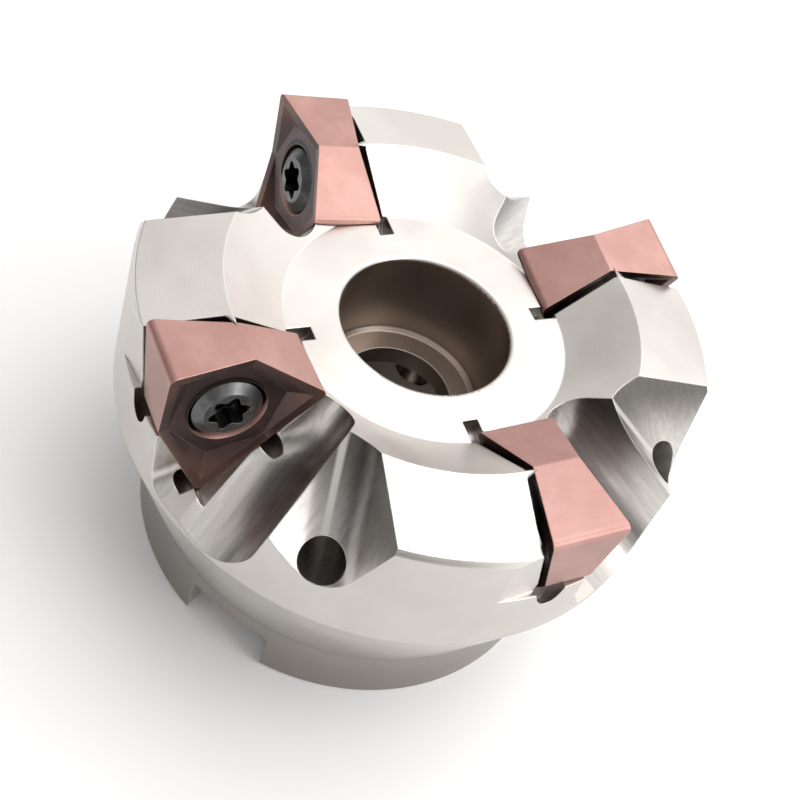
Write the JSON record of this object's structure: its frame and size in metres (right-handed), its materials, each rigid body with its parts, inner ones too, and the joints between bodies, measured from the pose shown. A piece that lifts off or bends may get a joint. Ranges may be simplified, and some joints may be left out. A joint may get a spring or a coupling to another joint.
{
  "type": "face mill",
  "caption": "Shell-type face mill with screwed-on trigon cutting inserts, chip gullets, coolant outlets, a stepped arbor bore and a drive-key slot across the hub.",
  "frame": {"origin": "centre of the flat back face of the hub, on the tool axis", "axes": "+Z along the tool axis, out of the cutting end; the drive-key slot runs along Y; insert_1 is the one clockwise of -Y seen from the cutting end"},
  "size_m": [0.062, 0.062, 0.04],
  "materials": {
    "cutter_body": "satin nickel-plated steel",
    "insert": "coated carbide, rose-copper coating",
    "insert_screw": "blackened steel"
  },
  "bodies": {
    "cutter": {"cutter_body": "cutter_body"},
    "insert_1": {"insert_1": "insert"},
    "screw_1": {"insert_screw_1": "insert_screw"},
    "insert_2": {"insert_2": "insert"},
    "screw_2": {"insert_screw_2": "insert_screw"},
    "insert_3": {"insert_3": "insert"},
    "screw_3": {"insert_screw_3": "insert_screw"},
    "insert_4": {"insert_4": "insert"},
    "screw_4": {"insert_screw_4": "insert_screw"}
  },
  "joints": [
    {"name": "insert_1_lift", "type": "slide", "parent": "cutter", "child": "insert_1", "axis": [0.8126, -0.5721, 0.1115], "range_m": [0, 0.004]},
    {"name": "screw_1_out", "type": "slide", "parent": "insert_1", "child": "screw_1", "axis": [0.8126, -0.5721, 0.1115], "range_m": [0, 0.006]},
    {"name": "insert_2_lift", "type": "slide", "parent": "cutter", "child": "insert_2", "axis": [0.5721, 0.8126, 0.1115], "range_m": [0, 0.004]},
    {"name": "screw_2_out", "type": "slide", "parent": "insert_2", "child": "screw_2", "axis": [0.5721, 0.8126, 0.1115], "range_m": [0, 0.006]},
    {"name": "insert_3_lift", "type": "slide", "parent": "cutter", "child": "insert_3", "axis": [-0.8126, 0.5721, 0.1115], "range_m": [0, 0.004]},
    {"name": "screw_3_out", "type": "slide", "parent": "insert_3", "child": "screw_3", "axis": [-0.8126, 0.5721, 0.1115], "range_m": [0, 0.006]},
    {"name": "insert_4_lift", "type": "slide", "parent": "cutter", "child": "insert_4", "axis": [-0.5721, -0.8126, 0.1115], "range_m": [0, 0.004]},
    {"name": "screw_4_out", "type": "slide", "parent": "insert_4", "child": "screw_4", "axis": [-0.5721, -0.8126, 0.1115], "range_m": [0, 0.006]}
  ]
}
